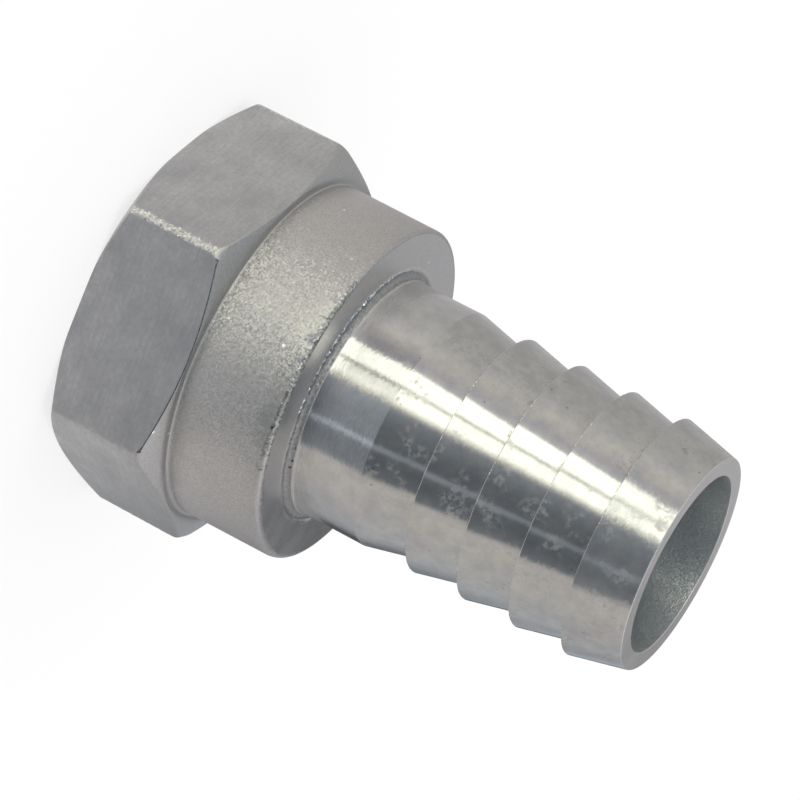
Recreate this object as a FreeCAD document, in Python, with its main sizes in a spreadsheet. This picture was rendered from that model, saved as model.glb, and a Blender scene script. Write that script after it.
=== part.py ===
import FreeCAD, Part
import os

import Sketcher

# Hose nipple: a cast hexagon and collar with a threaded socket, and a turned, barbed hose tail.
# It stands on its mouth: the origin is the centre of the mouth face, and +Z runs up the tail.

NODE = "hose_nipple"

# Driving dimensions, in millimetres and degrees
SIZES = [
    # Hexagon
    ("across_flats", 41.0),
    ("hex_length", 13.6),
    ("hex_corner_round", 1.3),
    # Each end of the hexagon has a turned chamfer. The mouth's starts outside the flats' own
    # circle, by the outset, and the shoulder's starts inside it, by the inset.
    ("mouth_chamfer_outset", 0.2),
    ("mouth_chamfer_angle", 30.0),
    ("shoulder_chamfer_inset", 0.1),
    ("shoulder_chamfer_angle", 25.0),
    # Cast collar, set in from the flats, with a little draft
    ("collar_step", 1.05),
    ("collar_draft", 0.1),
    ("collar_length", 11.1),
    ("collar_foot_cove", 0.4),
    ("collar_edge_round", 0.6),
    # Turned hose tail: a plain seat, a first taper, then barbs with a square shoulder each
    ("tail_diameter", 27.3),
    ("plain_tail_length", 8.3),
    ("tail_root_fillet", 0.75),
    ("barb_count", 4),
    ("barb_pitch", 6.24),
    ("barb_depth", 1.5),
    ("barb_crest_break", 0.2),
    ("tip_edge_break", 0.3),
    # Flow passage, given by the metal that it leaves under the barbs
    ("tail_wall", 2.0),
    ("passage_edge_break", 0.25),
    # Socket, bored at the thread's minor diameter, and the metal behind it
    ("socket_diameter", 30.3),
    ("end_wall", 6.2),
    ("socket_floor_angle", 30.0),
    ("mouth_countersink", 2.0),
]

# Places worked out from the driving dimensions
FLAT_RADIUS = "sizes.across_flats / 2"
CORNER_RADIUS = "sizes.across_flats / 2 / cos(30 deg)"
HEX_END = "sizes.hex_length"
COLLAR_END = "(sizes.hex_length + sizes.collar_length)"
TAPER_START = "(sizes.hex_length + sizes.collar_length + sizes.plain_tail_length)"
TIP = TAPER_START + " + (sizes.barb_count + 1) * sizes.barb_pitch"
COLLAR_FOOT_RADIUS = FLAT_RADIUS + " - sizes.collar_step"
COLLAR_FACE_RADIUS = COLLAR_FOOT_RADIUS + " - sizes.collar_draft"
TAIL_RADIUS = "sizes.tail_diameter / 2"
BARB_ROOT_RADIUS = TAIL_RADIUS + " - sizes.barb_depth"
PASSAGE_RADIUS = BARB_ROOT_RADIUS + " - sizes.tail_wall"
SOCKET_RADIUS = "sizes.socket_diameter / 2"
SOCKET_FLOOR = "(" + COLLAR_END + " - sizes.end_wall)"

# How far a cutting section reaches past the metal, and the size at which a sketch's shapes start
# before its constraints pull them into place
CUT_MARGIN = "1"
START_RADIUS = 10


def make_sheet(doc):
    sheet = doc.addObject("Spreadsheet::Sheet", "sizes")
    for row, (name, value) in enumerate(SIZES, start=1):
        sheet.set("A%d" % row, name)
        sheet.set("B%d" % row, str(value))
        sheet.setAlias("B%d" % row, name)
    doc.recompute()
    return sheet


def new_sketch(body, name, role):
    """A sketch on one of the body's own origin planes."""
    sketch = body.newObject("Sketcher::SketchObject", name)
    plane = next(item for item in body.Origin.OriginFeatures if item.Role == role)
    sketch.AttachmentSupport = [(plane, "")]
    sketch.MapMode = "FlatFace"
    return sketch


def add_polygon(sketch, count):
    """A closed ring of lines, as a round polygon that its constraints then pull into shape."""
    turn = FreeCAD.Rotation(FreeCAD.Vector(0, 0, 1), 360.0 / count)
    corners = [FreeCAD.Vector(START_RADIUS, 0, 0)]
    for step in range(count - 1):
        corners.append(turn.multVec(corners[-1]))
    for index in range(count):
        sketch.addGeometry(Part.LineSegment(corners[index], corners[(index + 1) % count]), False)
    for index in range(count):
        joint = Sketcher.Constraint("Coincident", index, 2, (index + 1) % count, 1)
        sketch.addConstraint(joint)


def place_corner(sketch, corner, kind, expression):
    """Holds one corner at a distance from one of the sketch's axes."""
    if expression == "0":
        axis = {"DistanceX": -2, "DistanceY": -1}[kind]
        sketch.addConstraint(Sketcher.Constraint("PointOnObject", corner, 1, axis))
        return
    number = sketch.addConstraint(Sketcher.Constraint(kind, -1, 1, corner, 1, 1.0))
    sketch.setExpression("Constraints[%d]" % number, expression)


def profile(body, name, corners):
    """A half section in the XZ plane: corners are (radius, height) expressions, in order."""
    sketch = new_sketch(body, name, "XZ_Plane")
    add_polygon(sketch, len(corners))
    for corner, (radius, height) in enumerate(corners):
        place_corner(sketch, corner, "DistanceX", radius)
        place_corner(sketch, corner, "DistanceY", height)
    return sketch


def turned(body, kind, name, sketch):
    """Revolves a half section about the sketch's vertical axis: kind adds or cuts metal."""
    feature = body.newObject("PartDesign::" + kind, name)
    feature.Profile = sketch
    feature.ReferenceAxis = (sketch, ["V_Axis"])
    feature.Angle = 360.0
    return feature


def rounded(doc, body, kind, name, base, edges, size):
    """A fillet or chamfer along the named edges of the feature before it."""
    feature = body.newObject("PartDesign::" + kind, name)
    feature.Base = (base, edges)
    feature.setExpression("Radius" if kind == "Fillet" else "Size", "sizes." + size)
    doc.recompute()
    return feature


def ring_edges(feature, radius, heights):
    """Names of the round edges with this radius at these heights."""
    names = []
    for number, edge in enumerate(feature.Shape.Edges, start=1):
        if not isinstance(edge.Curve, Part.Circle) or abs(edge.Curve.Radius - radius) > 0.001:
            continue
        if any(abs(edge.Curve.Center.z - height) < 0.001 for height in heights):
            names.append("Edge%d" % number)
    return names


def upright_edges(feature):
    """Names of the straight edges that run along Z."""
    names = []
    for number, edge in enumerate(feature.Shape.Edges, start=1):
        start, end = edge.Vertexes[0].Point, edge.Vertexes[-1].Point
        if abs(start.x - end.x) + abs(start.y - end.y) < 0.001:
            names.append("Edge%d" % number)
    return names


def make_hexagon(doc, body):
    """Hexagonal prism with rounded corners, then the turned chamfer at each end."""
    section = new_sketch(body, "hex_section", "XY_Plane")
    add_polygon(section, 6)
    circle = Part.Circle(FreeCAD.Vector(0, 0, 0), FreeCAD.Vector(0, 0, 1), START_RADIUS)
    corner_circle = section.addGeometry(circle, True)
    section.addConstraint(Sketcher.Constraint("Coincident", corner_circle, 3, -1, 1))
    for side in range(6):
        section.addConstraint(Sketcher.Constraint("PointOnObject", side, 1, corner_circle))
    for side in range(1, 6):
        section.addConstraint(Sketcher.Constraint("Equal", 0, side))
    section.addConstraint(Sketcher.Constraint("PointOnObject", 0, 1, -1))
    number = section.addConstraint(Sketcher.Constraint("Radius", corner_circle, START_RADIUS))
    section.setExpression("Constraints[%d]" % number, CORNER_RADIUS)

    prism = body.newObject("PartDesign::Pad", "hex_prism")
    prism.Profile = section
    prism.setExpression("Length", "sizes.hex_length")
    doc.recompute()
    rounded(doc, body, "Fillet", "hex_corners", prism, upright_edges(prism), "hex_corner_round")

    # Each chamfer is cut by a triangle whose long leg reaches past the corners
    outside = "%s + %s" % (CORNER_RADIUS, CUT_MARGIN)
    mouth_start = FLAT_RADIUS + " + sizes.mouth_chamfer_outset"
    mouth_rise = "(%s - (%s)) * tan(sizes.mouth_chamfer_angle * 1 deg)" % (outside, mouth_start)
    shoulder_start = FLAT_RADIUS + " - sizes.shoulder_chamfer_inset"
    shoulder_drop = "(%s - (%s)) * tan(sizes.shoulder_chamfer_angle * 1 deg)" % (
        outside,
        shoulder_start,
    )
    mouth = profile(
        body,
        "mouth_chamfer_section",
        [(mouth_start, "0"), (outside, "0"), (outside, mouth_rise)],
    )
    turned(body, "Groove", "mouth_chamfer", mouth)
    shoulder = profile(
        body,
        "shoulder_chamfer_section",
        [
            (shoulder_start, HEX_END),
            (outside, HEX_END),
            (outside, HEX_END + " - " + shoulder_drop),
        ],
    )
    turned(body, "Groove", "shoulder_chamfer", shoulder)
    doc.recompute()


def make_collar_and_tail(doc, body, sheet):
    """Cast collar, plain tail and first taper in one half section, then their blends."""
    section = profile(
        body,
        "tail_section",
        [
            ("0", "0"),
            (COLLAR_FOOT_RADIUS, "0"),
            (COLLAR_FOOT_RADIUS, HEX_END),
            (COLLAR_FACE_RADIUS, COLLAR_END),
            (TAIL_RADIUS, COLLAR_END),
            (TAIL_RADIUS, TAPER_START),
            (BARB_ROOT_RADIUS, TAPER_START + " + sizes.barb_pitch"),
            (BARB_ROOT_RADIUS, TIP),
            ("0", TIP),
        ],
    )
    tail = turned(body, "Revolution", "collar_and_tail", section)
    doc.recompute()

    hex_end = sheet.hex_length
    collar_end = hex_end + sheet.collar_length
    foot_radius = sheet.across_flats / 2 - sheet.collar_step
    face_radius = foot_radius - sheet.collar_draft
    tail_radius = sheet.tail_diameter / 2
    foot = rounded(
        doc, body, "Chamfer", "collar_foot", tail,
        ring_edges(tail, foot_radius, [hex_end]), "collar_foot_cove",
    )
    edge = rounded(
        doc, body, "Fillet", "collar_edge", foot,
        ring_edges(foot, face_radius, [collar_end]), "collar_edge_round",
    )
    rounded(
        doc, body, "Fillet", "tail_root", edge,
        ring_edges(edge, tail_radius, [collar_end]), "tail_root_fillet",
    )


def make_barbs(doc, body, sheet):
    """One barb as a turned ring, repeated up the tail, with its crests broken."""
    crest = TAPER_START + " + sizes.barb_pitch"
    # The ring reaches half of the wall into the tail, so that the two fuse
    inside = BARB_ROOT_RADIUS + " - sizes.tail_wall / 2"
    section = profile(
        body,
        "barb_section",
        [
            (inside, crest),
            (TAIL_RADIUS, crest),
            (BARB_ROOT_RADIUS, crest + " + sizes.barb_pitch"),
            (inside, crest + " + sizes.barb_pitch"),
        ],
    )
    barb = turned(body, "Revolution", "barb", section)
    doc.recompute()
    barbs = body.newObject("PartDesign::LinearPattern", "barbs")
    barbs.Originals = [barb]
    barbs.Direction = (section, ["V_Axis"])
    barbs.setExpression("Occurrences", "sizes.barb_count")
    barbs.setExpression("Length", "(sizes.barb_count - 1) * sizes.barb_pitch")
    body.Tip = barbs
    doc.recompute()

    first = sheet.hex_length + sheet.collar_length + sheet.plain_tail_length + sheet.barb_pitch
    heights = [first + step * sheet.barb_pitch for step in range(int(sheet.barb_count))]
    crests = rounded(
        doc, body, "Chamfer", "barb_crests", barbs,
        ring_edges(barbs, sheet.tail_diameter / 2, heights), "barb_crest_break",
    )
    tip_radius = sheet.tail_diameter / 2 - sheet.barb_depth
    rounded(
        doc, body, "Chamfer", "tip_edge", crests,
        ring_edges(crests, tip_radius, [heights[-1] + sheet.barb_pitch]), "tip_edge_break",
    )


def make_hollow(doc, body, sheet):
    """Countersunk socket, its sloping floor and the passage, cut in one groove."""
    section = profile(
        body,
        "hollow_section",
        [
            ("0", "0"),
            (SOCKET_RADIUS + " + sizes.mouth_countersink", "0"),
            (SOCKET_RADIUS, "sizes.mouth_countersink"),
            (SOCKET_RADIUS, SOCKET_FLOOR),
            (
                PASSAGE_RADIUS,
                "%s + (%s - (%s)) * tan(sizes.socket_floor_angle * 1 deg)"
                % (SOCKET_FLOOR, SOCKET_RADIUS, PASSAGE_RADIUS),
            ),
            (PASSAGE_RADIUS, TIP),
            ("0", TIP),
        ],
    )
    hollow = turned(body, "Groove", "hollow", section)
    doc.recompute()
    radius = sheet.tail_diameter / 2 - sheet.barb_depth - sheet.tail_wall
    tip = sheet.hex_length + sheet.collar_length + sheet.plain_tail_length
    tip += (sheet.barb_count + 1) * sheet.barb_pitch
    rounded(
        doc, body, "Chamfer", "passage_edge", hollow,
        ring_edges(hollow, radius, [tip]), "passage_edge_break",
    )


def check(doc, body):
    """Stops if any feature failed or the finished solid isn't whole."""
    for item in doc.Objects:
        if "Invalid" in item.State or "Error" in item.State:
            raise RuntimeError("%s failed" % item.Name)
    if body.Shape.isNull() or not body.Shape.isValid() or len(body.Shape.Solids) != 1:
        raise RuntimeError("%s isn't one valid solid" % body.Label)


def main():
    doc = FreeCAD.newDocument("hose_nipple_model")
    sheet = make_sheet(doc)
    body = doc.addObject("PartDesign::Body", "nipple")
    body.Label = NODE
    body.Placement = FreeCAD.Placement()
    make_hexagon(doc, body)
    make_collar_and_tail(doc, body, sheet)
    make_barbs(doc, body, sheet)
    make_hollow(doc, body, sheet)
    doc.recompute()
    check(doc, body)
    os.makedirs("parts", exist_ok=True)
    body.Shape.exportStep("parts/%s.step" % NODE)
    box = body.Shape.BoundBox
    print("size %.2f x %.2f x %.2f mm" % (box.XLength, box.YLength, box.ZLength))
    print("volume %.1f mm3" % body.Shape.Volume)


main()
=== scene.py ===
import math

import bpy
import mathutils
import numpy as np
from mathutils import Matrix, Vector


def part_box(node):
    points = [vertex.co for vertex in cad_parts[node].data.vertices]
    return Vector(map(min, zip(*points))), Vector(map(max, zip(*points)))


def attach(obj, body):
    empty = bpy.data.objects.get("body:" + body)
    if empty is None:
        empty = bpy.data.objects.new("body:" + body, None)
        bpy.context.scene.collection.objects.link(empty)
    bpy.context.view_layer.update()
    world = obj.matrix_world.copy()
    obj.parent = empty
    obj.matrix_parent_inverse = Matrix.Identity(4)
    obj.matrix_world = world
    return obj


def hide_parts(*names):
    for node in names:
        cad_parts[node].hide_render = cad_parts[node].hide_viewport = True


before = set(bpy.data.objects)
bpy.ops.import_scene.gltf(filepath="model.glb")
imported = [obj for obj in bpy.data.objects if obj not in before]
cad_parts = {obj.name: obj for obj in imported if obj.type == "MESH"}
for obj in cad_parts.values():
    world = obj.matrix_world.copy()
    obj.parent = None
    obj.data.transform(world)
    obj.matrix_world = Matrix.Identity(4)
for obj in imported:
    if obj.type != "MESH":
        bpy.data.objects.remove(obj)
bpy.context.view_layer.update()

mm = 0.001

# Hose nipple: one casting with a hexagon and a collar, and a turned tail with barbs. It stands on
# its mouth, so Z runs up the tail. Everything here is in metres.

nodeLow, nodeHigh = (np.array(corner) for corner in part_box("hose_nipple"))
flatRadius = (nodeHigh[1] - nodeLow[1]) / 2
tipHeight = nodeHigh[2]

hexagon = {
    "length": 13.6 * mm,
    "cornerRound": 1.3 * mm,
    "crown": 0.1 * mm,            # the belt takes more off towards the corners, bar the one on +X
    "sharpPower": 8,              # how closely that exception keeps to its corner
    "lift": 0.12 * mm,            # and left the four slanted flats a little proud
    "mouthOutset": 0.04 * mm,     # where the mouth's chamfer starts, outside the flats' circle
    "mouthOffset": (-0.21 * mm, -0.32 * mm),    # it was turned a little off the casting's centre
    "mouthSoftness": 0.1 * mm,
    "mouthSlope": math.tan(math.radians(29.6)),
    "shoulderInset": 0.1 * mm,    # where the shoulder's chamfer starts, inside that circle
    "shoulderSlope": math.tan(math.radians(25)),
    "leastBreak": 0.08 * mm,      # the edge is broken even where a chamfer misses the flat
    "mouthEdge": 0.12 * mm,
    "shoulderEdge": 0.1 * mm,     # cast and blasted, so softer, and most at the corners
    "shoulderCorner": 0.55 * mm,
    "cornerFrom": 0.75,           # the share of the way from flat to corner where that begins
    "shoulderLean": 0.7,          # the share of the edge that already slopes like the shoulder
    "shoulderFoot": 0.5 * mm,
    "ridgeWear": 0.03 * mm,
    "arcColumns": 10,
    "flatColumns": 54,
    "flatRows": 24,
    "shadeLineFlats": (1, 4),         # where a dark line is painted along the shoulder: painted shade of the step there
}

collar = {
    "footRadius": flatRadius - 1.05 * mm,
    "faceRadius": flatRadius - 1.15 * mm,
    "top": 24.7 * mm,
    "footBlend": 0.2 * mm,
    "edgeRound": 0.42 * mm,
    "softer": (0.25 * mm, 0.7 * mm),    # added to both on the side where the casting is softer
    "softAngle": math.radians(316),
    "softPower": 6,               # how closely the edge's own softness keeps to that side
    "edgeWear": 0.08 * mm,        # how far the edge is nibbled, twice round, most at wornAngle
    "wornAngle": math.radians(254),
    "wornFrom": 0.66,             # from which share of that wear its worn finish shows
    "burrRadius": 14.75 * mm,     # the tool that turned the tail stopped here and left a torn ring
    "burrHeight": (0.06 * mm, 0.22 * mm),
    "burrWidth": (0.32 * mm, 0.18 * mm),    # outside and inside its crest
    "burrRound": 0.03 * mm,
    # Where the burr is most torn, here and opposite. Its white torn finish there is partly a painted glint:
    # this is where the burr catches the lamp.
    "tornAngle": math.radians(234),
    "tornFrom": 0.65,
    "patchiness": 0.3,            # how far chance shifts where both finishes begin
    "ringDepth": 0.03 * mm,
}

tail = {
    "radius": 13.65 * mm,
    "rootRound": 0.66 * mm,       # torn like the ring beside it, up to a fine bright step
    "rootRows": 6,
    "rootStep": 0.05 * mm,
    "flare": 0.16 * mm,           # how much wider it is at that step, and over what height
    "flareUp": 2.2 * mm,
    "flarePower": 2.5,
    "flareRows": 8,
    "taperStart": 33.0 * mm,
    "taperRound": 0.06 * mm,
    "pitch": 6.24 * mm,
    "barbs": 4,
    "depth": 1.5 * mm,
    "crestRound": 0.08 * mm,
    "crestWear": 0.07 * mm,
    "crestBright": 0.6,           # above which share of wear a crest shows its bright burr, partly a painted glint
    "ledgeRound": 0.08 * mm,
    "tipBreak": 0.09 * mm,
}

hollow = {
    "passageRadius": 10.15 * mm,
    "passageBreak": 0.08 * mm,
    "socketRadius": 15.15 * mm,
    "floorTop": 21.387 * mm,
    "floorTopRound": 0.4 * mm,
    "floor": 18.5 * mm,
    "floorRound": 0.3 * mm,
    "floorClearance": 0.2 * mm,   # the thread and the countersink leave the floor's own curve alone
    "mouthRadius": 17.15 * mm,
    "mouthRound": 0.08 * mm,
    "threadTop": 0.8 * mm,        # the rows of the thread run from here below the floor
    "threadBottom": 0.3 * mm,     # to here above the mouth
    "threadTopRound": 0.1 * mm,
    "threadBottomRound": 0.02 * mm,
    "threadPitch": 2.309 * mm,
    "threadDepth": 1.479 * mm,
    "threadSlope": 1.6,
    "threadCrest": 0.14,          # how much of the V its flat crest takes away
    "threadRound": 0.35,          # how much of the cut follows a rounded curve
    "threadEnd": 16.2 * mm,
    "threadFade": 0.8 * mm,
    "rowsPerTurn": 10,
}

# The seed of each random draw
seeds = {"collarEdge": 3, "burr": 5, "cornerWidth": 6, "dents": 8, "patches": 11, "firstCrest": 21}


def toLinear(hexText):
    # sRGB hex to linear: divide by 12.92 near black, otherwise the 2.4 power curve
    values = [int(hexText[i:i + 2], 16) / 255 for i in (1, 3, 5)]
    return tuple(v / 12.92 if v <= 0.04045 else ((v + 0.055) / 1.055) ** 2.4 for v in values) + (1.0,)


def columnAngles():
    # Columns around Z: a few close together over each rounded corner, the rest even over each flat
    corner = flatRadius - hexagon["cornerRound"]
    halfArc = math.pi / 6 - math.atan2(corner * math.tan(math.pi / 6), flatRadius)
    arc = np.linspace(-halfArc, halfArc, hexagon["arcColumns"], endpoint=False)
    flat = np.linspace(halfArc, math.pi / 3 - halfArc, hexagon["flatColumns"], endpoint=False)
    sector = np.concatenate([arc, flat])
    return (sector[None, :] + math.pi / 3 * np.arange(6)[:, None]).ravel()


def hexRadius(theta):
    # Distance to a rounded hexagon's outline, corners on X: flat / cos(angle from its normal), or
    # the far crossing of the ray with the corner's circle where that is nearer. The belt takes the
    # crown times the square of the way to the corner, and on a slanted flat it leaves the lift
    # times the rest.
    fromFlat = np.abs((theta + math.pi / 3) % (math.pi / 3) - math.pi / 6)
    fromCorner = math.pi / 6 - fromFlat
    roundness = hexagon["cornerRound"]
    centre = (flatRadius - roundness) / math.cos(math.pi / 6)
    inside = np.maximum(roundness ** 2 - (centre * np.sin(fromCorner)) ** 2, 0)
    onArc = centre * np.cos(fromCorner) + np.sqrt(inside)
    arcEnd = math.atan2((flatRadius - roundness) * math.tan(math.pi / 6), flatRadius)
    share = (np.tan(fromFlat) / math.tan(math.pi / 6)) ** 2
    slanted = np.abs(np.sin(theta)) < math.sin(math.pi / 3)
    sharper = np.clip(np.cos(theta), 0, 1) ** hexagon["sharpPower"]
    taken = hexagon["crown"] * share * (1 - sharper) - hexagon["lift"] * (1 - share) * slanted
    return np.where(fromFlat > arcEnd, onArc, flatRadius / np.cos(fromFlat)) - taken


class Outline:
    # The section of the metal as rows of (radius, height), one value per column. Each corner is
    # replaced by a short curve: (1-t)^2 before + 2t(1-t) corner + t^2 after.
    longestReach = 0.42           # the share of a stretch that a curve may take up
    closeRow = 0.06 * mm
    closeShare = 0.2
    longStretch = 0.5 * mm

    def __init__(self, count):
        self.count = count
        self.corners = []

    def add(self, radius, height, blend, finish, blendRows=4, rows=1, edge=None):
        # finish and rows belong to the stretch that leaves this corner, edge to the corner's curve
        point = np.empty((self.count, 2))
        point[:, 0] = radius
        point[:, 1] = height
        self.corners.append((point, blend, finish, blendRows, rows, edge))

    def build(self):
        points, finishes = [], []
        total = len(self.corners)
        for index, (corner, blend, finish, blendRows, rows, edge) in enumerate(self.corners):
            before, arriving = self.corners[index - 1][0], self.corners[index - 1][2]
            after, nextBlend = self.corners[(index + 1) % total][:2]
            toBefore = before - corner
            toAfter = after - corner
            lengthBefore = np.linalg.norm(toBefore, axis=1, keepdims=True)
            lengthAfter = np.linalg.norm(toAfter, axis=1, keepdims=True)
            reach = np.minimum(blend, self.longestReach * np.minimum(lengthBefore, lengthAfter))
            start = corner + toBefore / lengthBefore * reach
            end = corner + toAfter / lengthAfter * reach
            for t in np.linspace(0, 1, blendRows):
                points.append((1 - t) ** 2 * start + 2 * t * (1 - t) * corner + t ** 2 * end)
                finishes.append(edge or (finish if t > 0.5 else arriving))
            finishes[-1] = finish
            # Rows along the stretch, with one close to each end so that its shading stays straight
            nextReach = np.minimum(nextBlend, self.longestReach * lengthAfter)
            nextStart = after - toAfter / lengthAfter * nextReach
            close = np.minimum(self.closeRow / lengthAfter, self.closeShare)
            shares = [step / rows for step in range(1, rows)]
            if lengthAfter.min() > self.longStretch:
                shares = [close] + shares + [1 - close]
            for share in shares:
                points.append(end + (nextStart - end) * share)
                finishes.append(finish)
        return np.array(points), finishes


def threadWave(theta, height):
    # How far the thread is cut, 0 on its flat crest to 1 in its rounded root: a 55 degree V
    # repeated along a right-hand helix, clipped and softened at both ends
    turns = height / hollow["threadPitch"] - theta / (2 * math.pi)
    fromRoot = np.abs(turns % 1 - 0.5) * 2
    wave = np.clip((1 - fromRoot) * hollow["threadSlope"] - hollow["threadCrest"], 0, 1)
    rounded = wave * wave * (3 - 2 * wave)
    return rounded * hollow["threadRound"] + wave * (1 - hollow["threadRound"])


finishNames = ["linished", "corner", "line", "chamfer", "shoulder", "cast", "rim", "faced", "burr",
               "ring", "step", "turned", "barb", "crest", "cut", "bore", "thread"]


def twoSided(theta, angle):
    # cos^2 of the way round from an angle: 1 there and opposite, 0 half way between
    return np.cos(theta - angle) ** 2


def nippleSection(theta):
    # The whole section, mouth first, up the outside, over the tip and down the hollow
    outer = hexRadius(theta)
    # The mouth's circle is off centre: its distance along a direction u is c.u + the root of
    # (radius^2 - |c|^2 + (c.u)^2)
    offset = np.array(hexagon["mouthOffset"])
    along = offset[0] * np.cos(theta) + offset[1] * np.sin(theta)
    mouthCut = flatRadius + hexagon["mouthOutset"]
    mouthCircle = along + np.sqrt(mouthCut ** 2 - (offset ** 2).sum() + along ** 2)
    # A soft minimum of the flat and that circle: the lower one less k ln(1 + e^(-gap / k))
    softness = hexagon["mouthSoftness"]
    gap = np.abs(outer - mouthCircle) / softness
    mouthStart = np.minimum(outer, mouthCircle) - softness * np.log1p(np.exp(-gap))
    shoulderStart = np.minimum(outer - hexagon["leastBreak"], flatRadius - hexagon["shoulderInset"])
    mouthRise = (outer - mouthStart) * hexagon["mouthSlope"]
    shoulderDrop = (outer - shoulderStart) * hexagon["shoulderSlope"]
    # The shoulder's edge is broken more towards the corners, by the square of the share that is left
    outwards = (outer - flatRadius) / (outer.max() - flatRadius)
    cornerFrom = hexagon["cornerFrom"]
    cornerShare = np.clip((outwards - cornerFrom) / (1 - cornerFrom), 0, 1) ** 2
    broken = hexagon["shoulderEdge"] + hexagon["shoulderCorner"] * cornerShare
    lean = hexagon["shoulderLean"] * broken
    shoulderEnd = hexagon["length"] - shoulderDrop
    softSide = np.clip(np.cos(theta - collar["softAngle"]), 0, 1)
    line = Outline(len(theta))
    line.add(hollow["mouthRadius"], 0, hollow["mouthRound"], "chamfer", 3)
    line.add(mouthStart, 0, hexagon["mouthEdge"], "chamfer", 3)
    line.add(outer, mouthRise, hexagon["mouthEdge"], "linished", 4, hexagon["flatRows"])
    # The shoulder's edge starts with the dark line, which is painted shade, on the listed flats
    line.add(outer, shoulderEnd - broken, broken[:, None], "line", 4)
    line.add(outer - lean, shoulderEnd + lean * hexagon["shoulderSlope"], broken[:, None], "shoulder", 4)
    line.add(shoulderStart, hexagon["length"], hexagon["shoulderFoot"], "shoulder", 5)
    line.add(collar["footRadius"], hexagon["length"],
             (collar["footBlend"] + collar["softer"][0] * softSide)[:, None], "cast", 5, 5)
    line.add(collar["faceRadius"], collar["top"],
             (collar["edgeRound"] + collar["softer"][1] * softSide ** collar["softPower"])[:, None],
             "faced", 7, 3, "rim")
    # The burr: its crest rises from the lower height to the higher where the ring is most torn
    burr = collar["burrRadius"]
    outside, inside = collar["burrWidth"]
    lowCrest, highCrest = collar["burrHeight"]
    torn = twoSided(theta, collar["tornAngle"])
    crestLevel = collar["top"] + lowCrest + (highCrest - lowCrest) * torn
    ringLevel = collar["top"] - collar["ringDepth"]
    line.add(burr + outside, collar["top"], collar["burrRound"], "burr", 2)
    line.add(burr, crestLevel, collar["burrRound"], "burr", 3)
    line.add(burr - inside, ringLevel, collar["burrRound"], "ring", 2)
    # A hollow quarter circle, turning from level to upright, then the step
    stepRadius = tail["radius"] + tail["flare"] + tail["rootStep"]
    rootTurns = np.linspace(0, math.pi / 2, tail["rootRows"])
    for turn in rootTurns:
        line.add(stepRadius + tail["rootRound"] * (1 - math.sin(turn)),
                 ringLevel + tail["rootRound"] * (1 - math.cos(turn)), 0,
                 "ring" if turn < rootTurns[-1] else "step", 1)
    # The flare: its width times a power of the height that is left
    flareLow = ringLevel + tail["rootRound"] + tail["rootStep"]
    for share in np.linspace(0, 1, tail["flareRows"]):
        line.add(tail["radius"] + tail["flare"] * (1 - share) ** tail["flarePower"],
                 flareLow + tail["flareUp"] * share, 0, "turned", 1, 1 if share < 1 else 2)

    crest, root = tail["radius"], tail["radius"] - tail["depth"]
    line.add(crest, tail["taperStart"], tail["taperRound"], "barb", 3, 3)
    for barb in range(1, tail["barbs"] + 1):
        height = tail["taperStart"] + barb * tail["pitch"]
        line.add(root, height, tail["ledgeRound"], "barb", 3)
        line.add(crest, height, tail["crestRound"], "barb", 4, 3, "crest")
    line.add(root, tipHeight, tail["tipBreak"], "cut", 4, 1, "cut")
    line.add(hollow["passageRadius"], tipHeight, hollow["passageBreak"], "bore", 4, 5, "cut")

    socket = hollow["socketRadius"]
    line.add(hollow["passageRadius"], hollow["floorTop"], hollow["floorTopRound"], "bore", 3)
    line.add(socket, hollow["floor"], hollow["floorRound"], "thread", 3)
    threadRows = int(hollow["threadEnd"] / hollow["threadPitch"] * hollow["rowsPerTurn"])
    line.add(socket, hollow["floor"] - hollow["threadTop"], hollow["threadTopRound"], "thread", 2,
             threadRows)
    line.add(socket, hollow["threadBottom"], hollow["threadBottomRound"], "thread", 2)
    return line.build()


def roughLine(count, seed, softness):
    # Random depths round the ring, 0 to 1, each averaged with its neighbours
    depth = np.random.default_rng(seed).random(count)
    for step in range(softness):
        depth = (np.roll(depth, 1) + 2 * depth + np.roll(depth, -1)) / 4
    return (depth - depth.min()) / (depth.max() - depth.min())


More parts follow.
